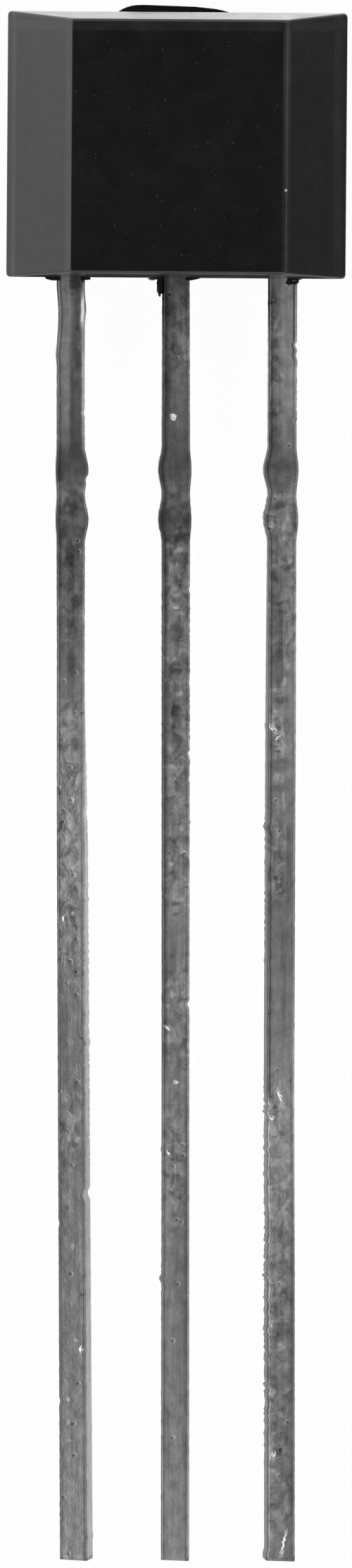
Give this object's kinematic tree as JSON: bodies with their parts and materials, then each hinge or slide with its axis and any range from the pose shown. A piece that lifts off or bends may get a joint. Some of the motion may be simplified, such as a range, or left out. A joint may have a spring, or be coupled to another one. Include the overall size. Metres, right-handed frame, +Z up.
{
  "type": "hall effect sensor",
  "caption": "Flat plastic-bodied magnetic field switch with a chamfered sensing face and a row of long straight tinned leads, lying on its back.",
  "frame": {"origin": "on the table below the middle of the part's length and width, where it lies on its back", "axes": "+Z up, out of the marked sensing face; +Y from the lead tips to the gated end of the body; +X from the supply lead to the output lead"},
  "size_m": [0.0042, 0.0188, 0.0016],
  "materials": {
    "moulding_compound": "satin",
    "tinned_copper": "satin",
    "silver_adhesive": "matte",
    "silicon": "polished",
    "gold": "polished"
  },
  "bodies": {
    "root": {"moulded_body": "moulding_compound", "supply_lead": "tinned_copper", "ground_lead": "tinned_copper", "output_lead": "tinned_copper", "die_attach": "silver_adhesive", "sensor_die": "silicon", "bond_wire_supply": "gold", "bond_wire_ground": "gold", "bond_wire_output": "gold"}
  },
  "joints": []
}
